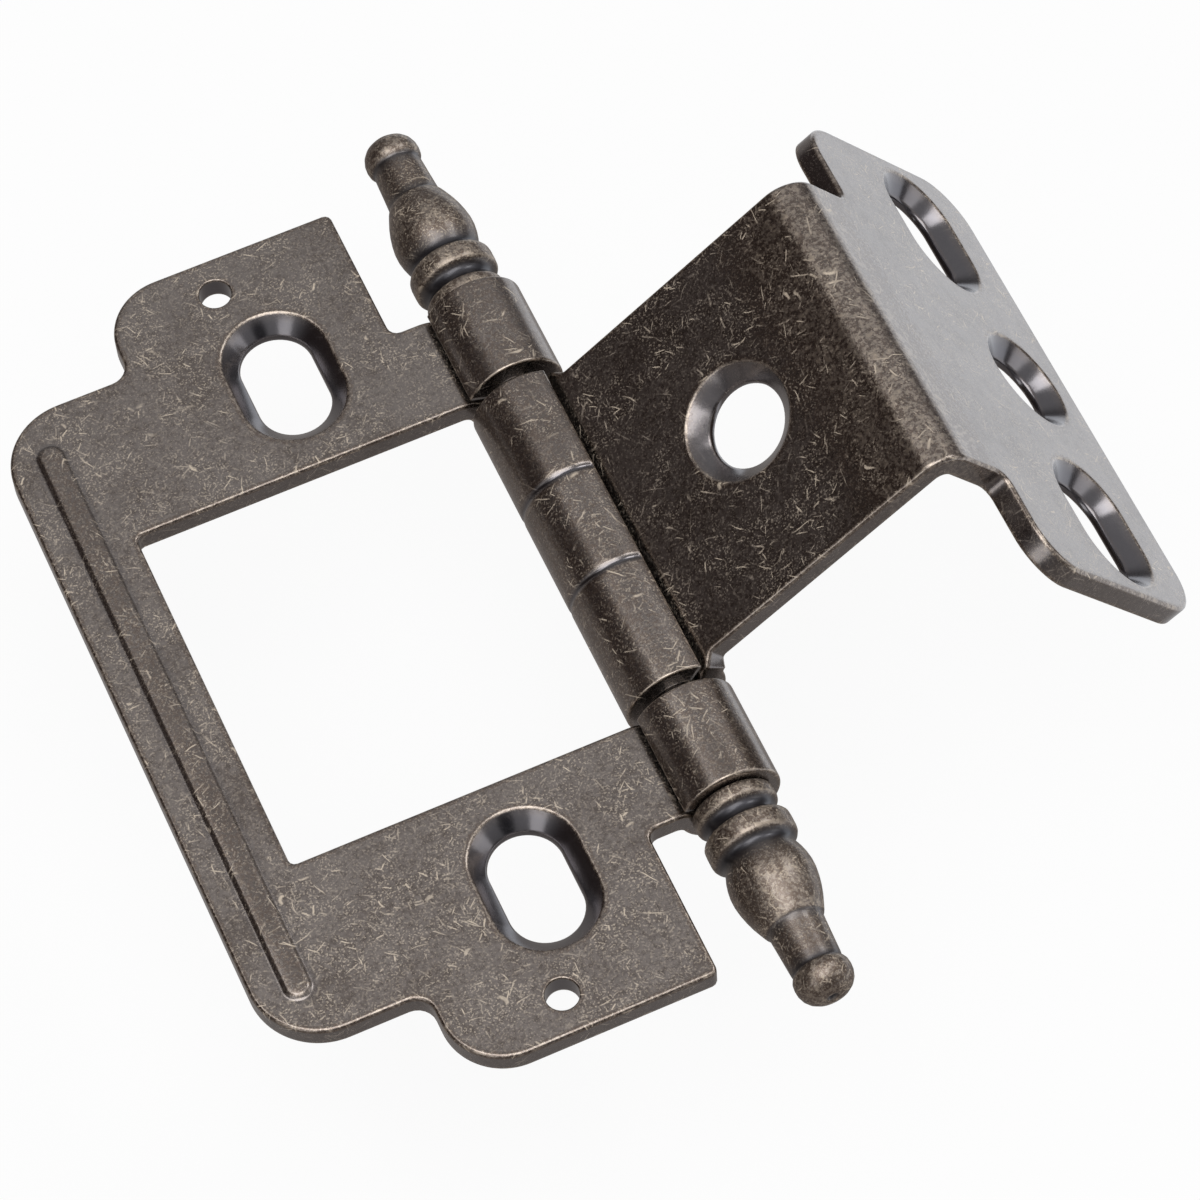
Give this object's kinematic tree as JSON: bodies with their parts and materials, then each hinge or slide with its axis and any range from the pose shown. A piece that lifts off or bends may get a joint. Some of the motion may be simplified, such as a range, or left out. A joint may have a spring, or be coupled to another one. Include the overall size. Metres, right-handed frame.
{
  "type": "full inset cabinet hinge",
  "caption": "Full inset cabinet hinge: flat frame leaf with a window, L shaped door leaf with a T flange, rolled barrel and turned finials, in antique pewter finish.",
  "frame": {"origin": "middle of the frame leaf's two screw slots, on its back face", "axes": "+X from the frame leaf towards the door leaf, +Y along the pin, +Z out of the frame leaf's countersunk face"},
  "size_m": [0.0676, 0.072, 0.0208],
  "materials": {
    "antique_steel": "dark antique pewter plating, burnished to a lighter warm grey on edges and scratches",
    "pin_steel": "dark plated steel, hidden in the barrel but for the gaps at the knuckles",
    "antique_brass": "turned brass with the same dark antique pewter plating, near black in the grooves"
  },
  "bodies": {
    "frame_side": {"frame_leaf": "antique_steel", "hinge_pin": "pin_steel", "upper_finial": "antique_brass", "lower_finial": "antique_brass"},
    "door_side": {"door_leaf": "antique_steel"}
  },
  "joints": [
    {"name": "leaf_swing", "type": "hinge", "parent": "frame_side", "child": "door_side", "pos_m": [0.01354, 0, 0.00085], "axis": [0, -1, 0], "range_deg": [-36.5, 143.4]}
  ]
}
